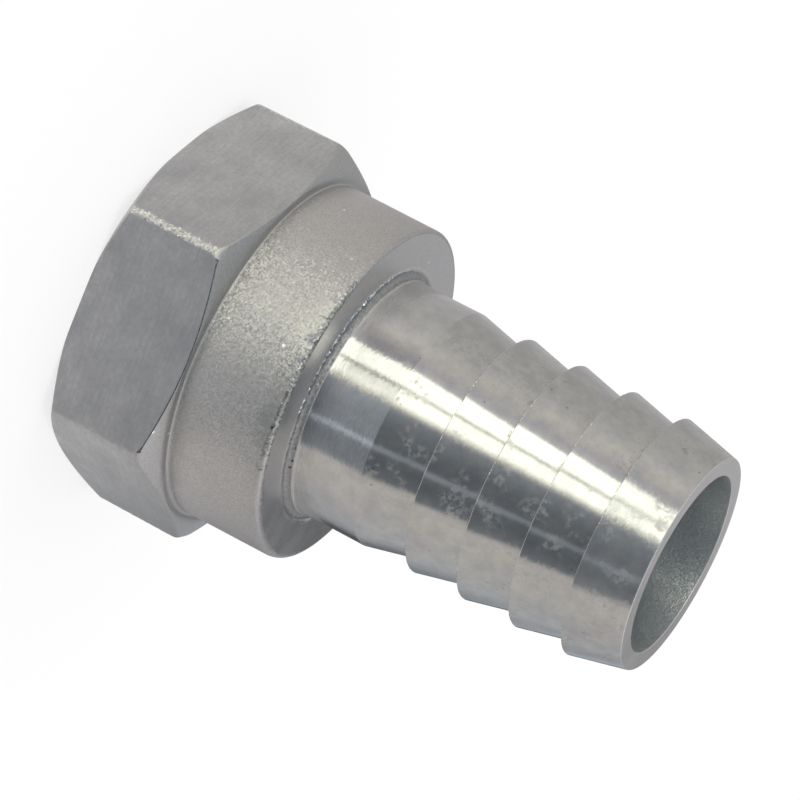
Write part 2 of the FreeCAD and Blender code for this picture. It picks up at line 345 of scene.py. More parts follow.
def makeNipple():
    theta = columnAngles()
    points, finishes = nippleSection(theta)
    radius, height = points[:, :, 0], points[:, :, 1]
    rows, columns = radius.shape
    perSector = columns // 6
    sector = np.arange(columns) % perSector
    flatOf = np.arange(columns) // perSector
    lastArc = hexagon["arcColumns"] - 1

    # The blasted edge of the collar is nibbled inwards, never outwards: its wear, growing from the
    # places where the worn share is a half, times the square of a random depth
    names = np.array(finishes)
    level = height.mean(axis=1)
    worn = twoSided(theta, collar["wornAngle"])
    ragged = roughLine(columns, seeds["collarEdge"], 0)
    nibble = collar["edgeWear"] * np.clip(2 * worn - 1, 0, 1) * ragged ** 2
    radius[names == "rim"] -= nibble
    height[names == "rim"] -= nibble
    # So are the turned crests, by the cube of a random depth. They are dull where the mean of that
    # depth and a share that peaks four times round is small.
    # Their bright burred finish is partly a painted glint: one peak of that share lies where the crests catch
    # the lamp
    fourSided = twoSided(2 * theta, 2 * collar["tornAngle"])
    dullCrests = []
    for barb in range(tail["barbs"]):
        crestHeight = tail["taperStart"] + (barb + 1) * tail["pitch"]
        onCrest = (names == "crest") & (np.abs(level - crestHeight) < 1 * mm)
        ragged = roughLine(columns, seeds["firstCrest"] + barb, 1)
        radius[onCrest] -= tail["crestWear"] * ragged ** 3
        dullCrests.append(onCrest[:, None] & ((ragged + fourSided) / 2 <= tail["crestBright"]))
    # The burr's crest is torn down by a random share of its height
    burrCrest = (names == "burr") & (level > collar["top"] + collar["burrHeight"][0] / 2)
    height[burrCrest] -= (height[burrCrest] - collar["top"]) * roughLine(columns, seeds["burr"], 0)

    # The thread is cut outwards from the socket's wall, and the countersink outwards from both
    fade = np.clip((hollow["threadEnd"] - height) / hollow["threadFade"], 0, 1)
    cut = hollow["socketRadius"] + hollow["threadDepth"] * threadWave(theta, height) * fade
    sink = hollow["mouthRadius"] - height
    belowFloor = height < hollow["floor"] - hollow["floorClearance"]
    inSocket = (names == "thread")[:, None] & belowFloor
    radius[:] = np.where(inSocket, np.maximum(cut, sink), radius)

    # The ridges are dented, by the square of a random depth
    dents = np.random.default_rng(seeds["dents"]).random(radius.shape)
    onRidge = (names == "linished")[:, None] & (sector < lastArc)
    radius[onRidge] -= hexagon["ridgeWear"] * dents[onRidge] ** 2

    x = radius * np.cos(theta)
    y = radius * np.sin(theta)
    vertices = np.stack([x, y, height], axis=-1).reshape(-1, 3)
    index = np.arange(rows * columns).reshape(rows, columns)
    right = np.roll(index, -1, axis=1)
    above = np.roll(index, -1, axis=0)
    faces = np.stack([index, right, np.roll(right, -1, axis=0), above], axis=-1).reshape(-1, 4)

    # The belt misses five of the rounded corners, which keep their cast skin
    rowSlots = np.array([finishNames.index(name) for name in finishes])
    slots = np.repeat(rowSlots[:, None], columns, axis=1)
    width = np.random.default_rng(seeds["cornerWidth"]).integers(0, 3, (rows, 2))
    onArc = (sector > width[:, :1]) & (sector < lastArc - width[:, 1:])
    slots[(names == "linished")[:, None] & onArc & (flatOf < 5)] = finishNames.index("corner")
    # Where an edge is clean, its rows take the finish beside it
    # Only the listed flats keep the dark shoulder line, which is painted shade
    lined = np.isin(flatOf, hexagon["shadeLineFlats"]) & (sector > lastArc)
    torn = twoSided(theta, collar["tornAngle"])
    patchy = collar["patchiness"] * (roughLine(columns, seeds["patches"], 3) - 0.5)
    clean = [("line", "shoulder", ~lined), ("rim", "cast", worn + patchy < collar["wornFrom"]),
             # The burr's white finish, partly a painted glint, stays only where the ring is most torn
             ("burr", "faced", torn + patchy < collar["tornFrom"])]
    for name, beside, columnsClean in clean:
        slots[np.ix_(names == name, columnsClean)] = finishNames.index(beside)
    # Dull crests take the barbs' finish, and the rest keep the bright burred one, which is partly a painted
    # glint
    for dull in dullCrests:
        slots[dull] = finishNames.index("barb")

    mesh = bpy.data.meshes.new("hoseNipple")
    mesh.from_pydata(vertices.tolist(), [], faces.tolist())
    mesh.polygons.foreach_set("use_smooth", np.ones(len(faces), dtype=bool))
    mesh.polygons.foreach_set("material_index", slots.ravel().astype(np.int32))
    mesh.update()
    piece = bpy.data.objects.new("hoseNipple", mesh)
    bpy.context.scene.collection.objects.link(piece)
    print("hose nipple:", len(faces) * 2, "triangles")
    return piece


def addNode(tree, kind, settings=None, links=None):
    # One shader node with its settings (properties, inputs by name or number, a ramp's stops) and
    # its incoming links, each from a socket or from a node's first live output. A Mix of colours
    # has its factor at 0 and the colours at 6 and 7.
    node = tree.nodes.new("ShaderNode" + kind)
    for name, value in (settings or {}).items():
        if name == "stops":
            elements = node.color_ramp.elements
            while len(elements) < len(value):
                elements.new(0.5)
            for element, (position, colour) in zip(elements, value):
                element.position = position
                element.color = colour
        elif isinstance(name, int) or name in node.inputs:
            node.inputs[name].default_value = value
        else:
            setattr(node, name, value)
    for name, source in (links or {}).items():
        if isinstance(source, bpy.types.Node):
            source = [socket for socket in source.outputs if socket.enabled][0]
        tree.links.new(source, node.inputs[name])
    return node


def newMaterial(name):
    material = bpy.data.materials.new(name)
    material.use_nodes = True
    material.node_tree.nodes.clear()
    return material, material.node_tree


def grooveTangent(tree):
    # Across the tool's grooves: normal x (up x position) is along Z on a wall, radial on a face
    place = addNode(tree, "TexCoord").outputs["Object"]
    normal = addNode(tree, "NewGeometry").outputs["Normal"]
    around = addNode(tree, "VectorMath", {"operation": "CROSS_PRODUCT", 0: (0, 0, 1)}, {1: place})
    return addNode(tree, "VectorMath", {"operation": "CROSS_PRODUCT"}, {0: normal, 1: around})


def ringPlace(tree, aroundMm, acrossMm):
    # Where a turned surface's pattern is read, with no seam: the direction from the axis times the
    # tail's radius over aroundMm, and (height - radius) over acrossMm
    place = addNode(tree, "TexCoord").outputs["Object"]
    level = addNode(tree, "VectorMath", {"operation": "MULTIPLY", 1: (1, 1, 0)}, {0: place})
    radius = addNode(tree, "VectorMath", {"operation": "LENGTH"}, {0: level})
    outward = addNode(tree, "VectorMath", {"operation": "NORMALIZE"}, {0: level})
    split = addNode(tree, "SeparateXYZ", {}, {0: place})
    climb = addNode(tree, "Math", {"operation": "SUBTRACT"}, {0: split.outputs[2], 1: radius})
    steps = addNode(tree, "Math", {"operation": "DIVIDE", 1: acrossMm * mm}, {0: climb})
    lift = addNode(tree, "CombineXYZ", {}, {2: steps})
    stretch = tail["radius"] / (aroundMm * mm)
    wide = addNode(tree, "VectorMath", {"operation": "SCALE", "Scale": stretch}, {0: outward})
    return addNode(tree, "VectorMath", {"operation": "ADD"}, {0: wide, 1: lift})


def stretchedPlace(tree, alongMm, upMm):
    # Object coordinates over two lengths, one for level directions and one for height
    place = addNode(tree, "TexCoord").outputs["Object"]
    size = (1 / (alongMm * mm), 1 / (alongMm * mm), 1 / (upMm * mm))
    return addNode(tree, "VectorMath", {"operation": "MULTIPLY", 1: size}, {0: place})


def spots(tree, place, spacingMm, sizeMm, share):
    # Round spots at random places: 1 inside a spot of this size, in this share of the cells
    reach = sizeMm / spacingMm
    cells = addNode(tree, "TexVoronoi", {"Scale": 1 / (spacingMm * mm)}, {"Vector": place})
    inside = addNode(tree, "MapRange",
                     {"From Min": reach * 0.6, "From Max": reach, "To Min": 1.0, "To Max": 0.0},
                     {"Value": cells.outputs["Distance"]})
    chance = addNode(tree, "SeparateColor", {}, {0: cells.outputs["Color"]})
    chosen = addNode(tree, "Math", {"operation": "GREATER_THAN", 1: 1 - share}, {0: chance})
    return addNode(tree, "Math", {"operation": "MULTIPLY"}, {0: inside, 1: chosen})


# Every material here is bare stainless steel, so each is fully metallic, with the default index

plainTurning = {
    "low": "#b3b3b4",
    "high": "#c3c1c0",
    "grooveLength": 0.9,     # millimetres, like every length in these looks
    "groovePitch": 0.2,
    "grooveHeight": 0.016,
    "wanderLength": 4.0,
    "wanderPitch": 0.8,
    "wanderHeight": 0.02,
    "roughness": 0.15,
    "mottle": 2.0,
    "stain": 0.3,
    "stainColour": "#c9c4c1",
    "stainCurl": 0.6,
    "stainCluster": 3.2,
    "stainRoughness": 0.3,
    "speck": (0.9, 0.14, 0.04),    # dark specks: spacing, size, and the share of places with one
    "speckColour": "#8c8c8e",
    "dullFrom": 100.0,       # the height from which the finish is duller and rougher: here nowhere
    "dullOver": 0.2,
    "dullRoughness": 0.08,
    "dullGrooves": 3.0,      # how many times higher the grooves are there
}
# The barbs: finer rings, more stains, and dull on the last one
barbTurning = dict(plainTurning, low="#b0b0b1", high="#c1c0bd", grooveHeight=0.005, wanderHeight=0.01,
                   stain=1.0, dullFrom=57.9)
# The thread: as the tap left it, less bright
threadTurning = dict(plainTurning, grooveHeight=0.006, roughness=0.28)
# The mouth's chamfer: a coarse cut, nearly dull
chamferTurning = dict(plainTurning, low="#a6a6a7", high="#b2b1b0", grooveHeight=0.01, roughness=0.45)


def turnedSteel(name, look):
    # Turned 316 steel: the tool's fine rings stretch each reflection along the axis and comb its
    # edges, and handling leaves dull pale stains in clusters
    material, tree = newMaterial(name)
    place = addNode(tree, "TexCoord").outputs["Object"]
    groove = addNode(tree, "TexNoise", {"Scale": 1.0, "Detail": 2.0, "Roughness": 0.5},
                     {"Vector": ringPlace(tree, look["grooveLength"], look["groovePitch"])})
    wander = addNode(tree, "TexNoise", {"Scale": 1.0, "Detail": 1.0},
                     {"Vector": ringPlace(tree, look["wanderLength"], look["wanderPitch"])})
    cloud = addNode(tree, "TexNoise",
                    {"Scale": 1 / (look["mottle"] * mm), "Detail": 6.0, "Roughness": 0.65}, {"Vector": place})
    curl = addNode(tree, "TexNoise", {"Scale": 1 / (look["stainCurl"] * mm), "Detail": 2.0},
                   {"Vector": place})
    cluster = addNode(tree, "TexNoise", {"Scale": 1 / (look["stainCluster"] * mm), "Detail": 1.0},
                      {"Vector": place})
    curled = addNode(tree, "MapRange", {"From Min": 0.44, "From Max": 0.68}, {"Value": curl})
    inCluster = addNode(tree, "MapRange",
                        {"From Min": 0.5, "From Max": 0.66, "To Max": look["stain"]}, {"Value": cluster})
    stain = addNode(tree, "Math", {"operation": "MULTIPLY"}, {0: curled, 1: inCluster})
    split = addNode(tree, "SeparateXYZ", {}, {0: place})
    dullTop = look["dullFrom"] + look["dullOver"]
    dull = addNode(tree, "MapRange",
                   {"From Min": look["dullFrom"] * mm, "From Max": dullTop * mm}, {"Value": split.outputs[2]})
    # The rings' bump reaches the height of the dull part, and a third of it everywhere else
    highest = look["grooveHeight"] * look["dullGrooves"]
    strength = addNode(tree, "MapRange", {"To Min": 0.33, "To Max": 1.0}, {"Value": dull})
    rings = addNode(tree, "Bump", {"Distance": highest * mm}, {"Height": groove, "Strength": strength})
    waves = addNode(tree, "Bump", {"Strength": 1.0, "Distance": look["wanderHeight"] * mm},
                    {"Height": wander, "Normal": rings})
    mottle = addNode(tree, "MapRange", {"From Min": 0.35, "From Max": 0.65}, {"Value": cloud})
    clean = addNode(tree, "Mix",
                    {"data_type": "RGBA", 6: toLinear(look["low"]), 7: toLinear(look["high"])}, {0: mottle})
    stained = addNode(tree, "Mix", {"data_type": "RGBA", 7: toLinear(look["stainColour"])},
                      {0: stain, 6: clean})
    colour = addNode(tree, "Mix", {"data_type": "RGBA", 7: toLinear(look["speckColour"])},
                     {0: spots(tree, place, *look["speck"]), 6: stained})
    dullest = look["roughness"] + look["dullRoughness"]
    dulled = addNode(tree, "MapRange", {"To Min": look["roughness"], "To Max": dullest}, {"Value": dull})
    rough = addNode(tree, "Math", {"operation": "MULTIPLY_ADD", 1: look["stainRoughness"]},
                    {0: stain, 2: dulled})
    shader = addNode(tree, "BsdfPrincipled", {"Metallic": 1.0, "Anisotropic": 1.0},
                     {"Base Color": colour, "Roughness": rough, "Normal": waves,
                      "Tangent": grooveTangent(tree)})
    addNode(tree, "OutputMaterial", {}, {"Surface": shader})
    return material


linishing = {
    "low": "#bfbebf",
    "high": "#cfcdcb",
    "speckle": "#aaaaaa",
    "scratch": "#a4a4a5",
    "score": "#77787a",
    "scratchLength": (3.6, 0.2),   # around and up
    "scratchHeight": 0.01,
    "scoreLength": (7.0, 0.13),
    "smudge": 4.2,
    "pore": 0.45,
    "poreHeight": 0.022,
    "roughness": (0.6, 0.53),      # where the smudges are dark, and where they are pale
    "anisotropy": 0.85,
    "rounding": 0.006,             # how far a flat's normal leans per millimetre along it
    "roundingGrowth": 0.0004,      # and how much that grows per millimetre of x
}


def linishedSteel(name, look):
    # Cast hexagon dressed on a fine belt: soft satin with faint scratches round the axis, a few
    # long dark ones, and handling smudges
    material, tree = newMaterial(name)
    place = addNode(tree, "TexCoord").outputs["Object"]
    scratch = addNode(tree, "TexNoise", {"Scale": 1.0, "Detail": 3.0, "Roughness": 0.6},
                      {"Vector": stretchedPlace(tree, *look["scratchLength"])})
    deep = addNode(tree, "TexNoise", {"Scale": 1.0, "Detail": 1.0},
                   {"Vector": stretchedPlace(tree, *look["scoreLength"])})
    cloud = addNode(tree, "TexNoise",
                    {"Scale": 1 / (look["smudge"] * mm), "Detail": 5.0, "Roughness": 0.68}, {"Vector": place})
    speckle = addNode(tree, "TexNoise",
                      {"Scale": 1 / (look["pore"] * mm), "Detail": 3.0, "Roughness": 0.6}, {"Vector": place})
    mottle = addNode(tree, "MapRange", {"From Min": 0.3, "From Max": 0.7}, {"Value": cloud})
    speckled = addNode(tree, "MapRange", {"From Min": 0.3, "From Max": 0.7, "To Max": 0.5},
                       {"Value": speckle})
    brushed = addNode(tree, "MapRange", {"From Min": 0.35, "From Max": 0.7, "To Max": 0.35},
                      {"Value": scratch})
    scored = addNode(tree, "MapRange", {"From Min": 0.68, "From Max": 0.8, "To Max": 0.35},
                     {"Value": deep})
    colour = addNode(tree, "Mix",
                     {"data_type": "RGBA", 6: toLinear(look["low"]), 7: toLinear(look["high"])}, {0: mottle})
    for mark, share in (("speckle", speckled), ("scratch", brushed), ("score", scored)):
        colour = addNode(tree, "Mix", {"data_type": "RGBA", 7: toLinear(look[mark])},
                         {0: share, 6: colour})
    lines = addNode(tree, "Bump", {"Strength": 1.0, "Distance": look["scratchHeight"] * mm},
                    {"Height": scratch})
    pores = addNode(tree, "Bump", {"Strength": 1.0, "Distance": look["poreHeight"] * mm},
                    {"Height": speckle, "Normal": lines})
    # The belt leaves each flat slightly rounded, and more so towards +X: the normal leans by the
    # distance along the flat, which is place . (up x normal), times a share that grows with x
    flatNormal = addNode(tree, "NewGeometry").outputs["Normal"]
    along = addNode(tree, "VectorMath", {"operation": "CROSS_PRODUCT", 0: (0, 0, 1)}, {1: flatNormal})
    distance = addNode(tree, "VectorMath", {"operation": "DOT_PRODUCT"}, {0: place, 1: along})
    split = addNode(tree, "SeparateXYZ", {}, {0: place})
    least = look["rounding"] / mm
    growth = look["roundingGrowth"] / mm ** 2
    rounding = addNode(tree, "Math", {"operation": "MULTIPLY_ADD", 1: growth, 2: least},
                       {0: split.outputs[0]})
    lean = addNode(tree, "Math", {"operation": "MULTIPLY"}, {0: distance, 1: rounding})
    leaning = addNode(tree, "VectorMath", {"operation": "SCALE"}, {0: along, "Scale": lean})
    leant = addNode(tree, "VectorMath", {"operation": "ADD"}, {0: pores, 1: leaning})
    normal = addNode(tree, "VectorMath", {"operation": "NORMALIZE"}, {0: leant})
    dark, pale = look["roughness"]
    rough = addNode(tree, "MapRange", {"To Min": dark, "To Max": pale}, {"Value": mottle})
    shader = addNode(tree, "BsdfPrincipled", {"Metallic": 1.0, "Anisotropic": look["anisotropy"]},
                     {"Base Color": colour, "Roughness": rough, "Normal": normal,
                      "Tangent": grooveTangent(tree)})
    addNode(tree, "OutputMaterial", {}, {"Surface": shader})
    return material


collarSkin = {
    "low": "#acaaa9",
    "high": "#bebbb9",
    "grain": 0.2,
    "grainHeight": 0.022,
    "facet": 0.18,           # the shot leaves small facets, each tilted its own way
    "facetTilt": 0.18,
    "harshness": 1.3,        # how much more they tilt on the two sides that the shot hit square on
    "shotAngle": 237,        # where those sides are, in degrees: here and opposite
    "dimple": 0.8,
    "dimpleHeight": 0.014,
    "wave": 3.0,
    "waveHeight": 0.03,
    "roughness": 0.47,
    "roughnessSpread": 0.08,
    "nicks": 0.07,           # the share of places, nickSpacing apart, that have one
    "nickSpacing": 1.4,
    "nickSize": 0.22,
    "nickColour": "#f0f0ea",
    "pits": 0.0,
    "pitSpacing": 0.8,
    "pitSize": 0.2,
    "pitColour": "#4d4e50",
}
# The corners that the belt missed: coarser, with more bright nicks
cornerSkin = dict(collarSkin, low="#a0a09f", high="#cccbc6", grain=0.26, grainHeight=0.08, facet=0.24,
                  facetTilt=0.25, roughness=0.36, nicks=0.1)
# The dark line along the shoulder: painted shade, standing in for the shadow at the small step where the
# belt's flat meets the shoulder
shoulderShadeSkin = dict(collarSkin, low="#4c4e51", high="#7e8083", nicks=0.0)
# The worn edge of the collar: coarse, with bright nicks and dark pits
rimSkin = dict(collarSkin, low="#858585", high="#c0bfbb", grain=0.34, grainHeight=0.09, facetTilt=0.35,
               roughness=0.36, nicks=0.2, pits=0.2)
# The collar's face: smooth and pale, with slow waves
faceSkin = dict(collarSkin, low="#c6c4c4", high="#d2d0ce", grainHeight=0.008, facetTilt=0.015,
                dimpleHeight=0.003, waveHeight=0.05, roughness=0.37, nicks=0.02)
# The torn ring beside the tail: dark and rough, with a few pits
ringSkin = dict(collarSkin, low="#8f8e8f", high="#aaa8a6", grain=0.26, grainHeight=0.05, facet=0.24,
                facetTilt=0.2, nicks=0.06, pits=0.08)
# The fine step at the tail's root: a bright broken line
stepSkin = dict(collarSkin, low="#b4b3b2", high="#cfcecb", facetTilt=0.3, grainHeight=0.05)
# The shoulder: smoother than the collar, since the shot came at a slant
shoulderSkin = dict(collarSkin, low="#adabaa", high="#bdbbb9", grainHeight=0.012, facetTilt=0.05,
                    dimpleHeight=0.006, nicks=0.04)
# The burr: torn splinters, white and glinting. The finish is partly a painted glint, kept where the ring is
# most torn, which is where the burr catches the lamp
tornGlintSkin = dict(collarSkin, low="#d0d0ce", high="#ffffff", grain=0.26, grainHeight=0.12, facet=0.24,
                facetTilt=1.1, harshness=0.0, roughness=0.25, nicks=0.6, pits=0.2)
# The barbs' crests: burred, so bright and dark in turn. The bright finish is partly a painted glint, kept
# where the crests catch the lamp
crestSkin = dict(collarSkin, low="#a8a8a6", high="#f0efea", grain=0.4, facet=0.24, facetTilt=0.6,
                 harshness=0.0, roughness=0.22, pits=0.2)
# The sawn tip: fine, level and pale
cutSkin = dict(collarSkin, low="#cbc7c5", high="#d9d5d2", grainHeight=0.01, facetTilt=0.02,
               dimpleHeight=0.003, roughness=0.44, nicks=0.0)
# The cast bore: the palest and finest skin, as no shot or belt reached it
boreSkin = dict(collarSkin, low="#d5d9db", high="#e2e5e6", grain=0.16, grainHeight=0.016, facet=0.13,
                facetTilt=0.15, harshness=0.0, dimpleHeight=0.004, waveHeight=0.005, roughness=0.4,
                nicks=0.02)


def blastedSteel(name, look):
    # Investment casting, shot blasted: fine facets that glitter in a highlight, soft grain and
    # waves under them, a few bright nicks and dark pits
    material, tree = newMaterial(name)
    place = addNode(tree, "TexCoord").outputs["Object"]
    grain = addNode(tree, "TexNoise",
                    {"Scale": 1 / (look["grain"] * mm), "Detail": 1.5, "Roughness": 0.5}, {"Vector": place})
    jolt = addNode(tree, "VectorMath", {"operation": "SCALE", "Scale": look["facet"] * mm},
                   {0: grain.outputs["Color"]})
    ragged = addNode(tree, "VectorMath", {"operation": "ADD"}, {0: place, 1: jolt})
    dimple = addNode(tree, "TexNoise", {"Scale": 1 / (look["dimple"] * mm), "Detail": 1.0},
                     {"Vector": place})
    wave = addNode(tree, "TexNoise", {"Scale": 1 / (look["wave"] * mm), "Detail": 2.0}, {"Vector": place})
    soft = addNode(tree, "Bump", {"Strength": 1.0, "Distance": look["waveHeight"] * mm}, {"Height": wave})
    dimpled = addNode(tree, "Bump", {"Strength": 1.0, "Distance": look["dimpleHeight"] * mm},
                      {"Height": dimple, "Normal": soft})
    grained = addNode(tree, "Bump", {"Strength": 1.0, "Distance": look["grainHeight"] * mm},
                      {"Height": grain, "Normal": dimpled})
    facets = addNode(tree, "TexVoronoi", {"Scale": 1 / (look["facet"] * mm)}, {"Vector": ragged})
    centred = addNode(tree, "VectorMath", {"operation": "SUBTRACT", 1: (0.5, 0.5, 0.5)},
                      {0: facets.outputs["Color"]})
    # Struck: the tilt grows with how nearly the place faces along the shot, either way round
    shot = math.radians(look["shotAngle"])
    shotLine = (math.cos(shot), math.sin(shot), 0)
    level = addNode(tree, "VectorMath", {"operation": "MULTIPLY", 1: (1, 1, 0)}, {0: place})
    outward = addNode(tree, "VectorMath", {"operation": "NORMALIZE"}, {0: level})
    facing = addNode(tree, "VectorMath", {"operation": "DOT_PRODUCT", 1: shotLine}, {0: outward})
    eitherWay = addNode(tree, "Math", {"operation": "ABSOLUTE"}, {0: facing})
    mostTilt = look["facetTilt"] * (1 + look["harshness"])
    struck = addNode(tree, "MapRange",
                     {"From Min": 0.87, "From Max": 1.0, "To Min": look["facetTilt"], "To Max": mostTilt},
                     {"Value": eitherWay})
    tilt = addNode(tree, "VectorMath", {"operation": "SCALE"}, {0: centred, "Scale": struck})
    tilted = addNode(tree, "VectorMath", {"operation": "ADD"}, {0: grained, 1: tilt})
    normal = addNode(tree, "VectorMath", {"operation": "NORMALIZE"}, {0: tilted})
    tone = addNode(tree, "MapRange", {"From Min": 0.3, "From Max": 0.7}, {"Value": grain})
    skin = addNode(tree, "Mix",
                   {"data_type": "RGBA", 6: toLinear(look["low"]), 7: toLinear(look["high"])}, {0: tone})
    pits = spots(tree, ragged, look["pitSpacing"], look["pitSize"], look["pits"])
    nicks = spots(tree, ragged, look["nickSpacing"], look["nickSize"], look["nicks"])
    pitted = addNode(tree, "Mix", {"data_type": "RGBA", 7: toLinear(look["pitColour"])},
                     {0: pits, 6: skin})
    colour = addNode(tree, "Mix", {"data_type": "RGBA", 7: toLinear(look["nickColour"])},
                     {0: nicks, 6: pitted})
    smoothest = look["roughness"] * (1 - look["roughnessSpread"])
    roughest = look["roughness"] * (1 + look["roughnessSpread"])
    rough = addNode(tree, "MapRange",
                    {"From Min": 0.3, "From Max": 0.7, "To Min": smoothest, "To Max": roughest},
                    {"Value": wave})
    shader = addNode(tree, "BsdfPrincipled", {"Metallic": 1.0},
                     {"Base Color": colour, "Roughness": rough, "Normal": normal})
    addNode(tree, "OutputMaterial", {}, {"Surface": shader})
    return material


studio = {
    "drumRadius": 0.45,
    "drumHalfHeight": 0.75,
    "cardColumns": 96,
    "floorHalf": 3.0,
    "floorGlow": 1.02,
    "floorGlowShare": 0.7,    # the rest of the floor is diffuse, and takes the shadow
    "camera": (-90.851 * mm, -359.75 * mm, 152.882 * mm),
    "cameraRight": (-0.380080, 0.383699, 0.841614),
    "cameraUp": (-0.896379, 0.071621, -0.437465),
    "lens": 166.963,
}

cardColours = {"white": "#fdffef", "warm": "#fffbf5", "cream": "#fffefa", "plain": "#fffdff",
               "clear": "#f8fbff", "cool": "#ecf6ff"}

# The cards round the object: degrees from the camera's side, then brightness low down (upright
# walls mirror it), higher up (the barbs' tapers do) and above that (level faces do), and colour.
# White: the lamp, with its seam.
cardStops = [
    (-180, 0.44, 0.52, 0.45, "plain"), (-160, 0.58, 0.58, 0.6, "plain"), (-120, 0.66, 0.58, 0.7, "cream"),
    (-90, 0.69, 0.61, 0.8, "cream"), (-80, 0.75, 0.66, 0.85, "cream"),
    (-68, 0.91, 0.8, 0.95, "warm"), (-58, 0.64, 0.75, 0.86, "warm"),
    (-50, 0.45, 0.7, 0.72, "plain"), (-42.5, 0.5, 0.9, 0.9, "plain"), (-41, 2.1, 2.6, 2.6, "white"),
    (-27, 2.1, 2.6, 2.6, "white"), (-24, 0.3, 0.8, 0.9, "white"), (-21.5, 1.4, 2.4, 2.5, "white"),
    (-13, 1.8, 2.5, 2.5, "white"), (-9, 1.3, 1.6, 1.6, "white"), (-6, 0.75, 0.7, 0.75, "warm"),
    (-3, 0.64, 0.43, 0.42, "cool"), (4, 0.55, 0.36, 0.3, "cool"), (14, 0.48, 0.25, 0.22, "cool"),
    (29, 0.47, 0.21, 0.2, "cool"), (31, 0.92, 0.5, 0.4, "cool"), (33.5, 0.87, 0.48, 0.4, "cool"),
    (36, 0.42, 0.24, 0.22, "cool"), (44, 0.38, 0.18, 0.2, "cool"), (58, 0.4, 0.26, 0.3, "cool"),
    (62.5, 0.75, 0.76, 0.76, "warm"), (80, 0.75, 0.78, 0.72, "warm"),
    (130, 0.6, 0.69, 0.6, "clear"), (142, 0.41, 0.54, 0.55, "clear"), (152, 0.12, 0.6, 0.5, "cool"),
    (163, 0.1, 0.78, 0.34, "cool"), (180, 0.2, 0.8, 0.42, "plain"),
]
topStops = [(-180, 0.74, "cool"), (55, 0.74, "cool"), (85, 1.15, "plain"), (150, 1.15, "plain"),
            (180, 0.74, "cool")]
# The heights over which each next band of brightness takes over, and the floor's white at the bottom
cardLevels = {"high": (-0.085, -0.005), "upper": (0.09, 0.14), "top": (0.28, 0.42),
              "bottom": (-0.24, -0.5)}

# Nearer sheets, whose reflections change along the object: a pale one round the foot, a dark one
# behind the collar and a dim one behind the tip. Stops: degrees, brightness and cover. Levels: a
# sheet fades in from the first to the second, and out from the third to the last.
nearCards = {
    "footCard": {
        "radius": 60 * mm,
        "levels": (-150 * mm, -149 * mm, -26 * mm, 6 * mm),
        "hue": "plain",
        "stops": [(-180, 0.6, 1), (-150, 0.8, 1), (-104, 1.55, 1), (-78, 1.0, 1), (-40, 1.1, 1),
                  (0, 1.15, 1), (28, 1.2, 1), (60, 1.2, 1), (100, 1.22, 1), (114, 1.2, 1), (130, 1.02, 1),
                  (150, 0.6, 1), (180, 0.45, 1)],
    },
    "backCard": {
        "radius": 60 * mm,
        "levels": (26 * mm, 34 * mm, 58 * mm, 68 * mm),
        "hue": "cool",
        "stops": [(-180, 0.05, 0), (149, 0.05, 0), (159, 0.05, 1), (174, 0.05, 1), (180, 0.05, 0)],
    },
    "tipCard": {
        "radius": 60 * mm,
        "levels": (76 * mm, 82 * mm, 100 * mm, 115 * mm),
        "hue": "plain",
        "stops": [(-180, 0.12, 0), (140, 0.12, 0), (152, 0.12, 1), (176, 0.12, 1), (180, 0.12, 0)],
    },
}


def cardSheet(name, section):
    # A sheet that only reflections see: radius and height walk along its section while the angle
    # goes round
    angle = np.linspace(0, 2 * math.pi, studio["cardColumns"] + 1)[:-1]
    section = np.array(section)
    x = section[:, :1] * np.cos(angle)
    y = section[:, :1] * np.sin(angle)
    z = section[:, 1:] + 0 * angle
    index = np.arange(x.size).reshape(x.shape)
    right = np.roll(index, -1, axis=1)
    faces = np.stack([right[:-1], index[:-1], index[1:], right[1:]], axis=-1).reshape(-1, 4)
    mesh = bpy.data.meshes.new(name)
    mesh.from_pydata(np.stack([x, y, z], axis=-1).reshape(-1, 3).tolist(), [], faces.tolist())
    sheet = bpy.data.objects.new(name, mesh)
    bpy.context.scene.collection.objects.link(sheet)
    sheet.visible_camera = False
    sheet.visible_diffuse = False
    sheet.visible_shadow = False
    sheet.visible_transmission = False
    return mesh


def cardAngle(tree):
    # The share of the way round from behind the object, and the height
    place = addNode(tree, "TexCoord").outputs["Object"]
    cameraSide = math.atan2(studio["camera"][1], studio["camera"][0])
    turned = addNode(tree, "VectorRotate", {"rotation_type": "Z_AXIS", "Angle": -cameraSide},
                     {"Vector": place})
    split = addNode(tree, "SeparateXYZ", {}, {0: turned})
    around = addNode(tree, "Math", {"operation": "ARCTAN2"}, {0: split.outputs[1], 1: split.outputs[0]})
    share = addNode(tree, "MapRange", {"From Min": -math.pi, "From Max": math.pi}, {"Value": around})
    return share, split.outputs[2]


def rampStop(degrees, brightness, hue, brightest, cover=1.0):
    # A ramp's place and colour: the hue times its share of the brightest value
    colour = [part * brightness / brightest for part in toLinear(hue)[:3]]
    return (degrees + 180) / 360, colour + [cover]


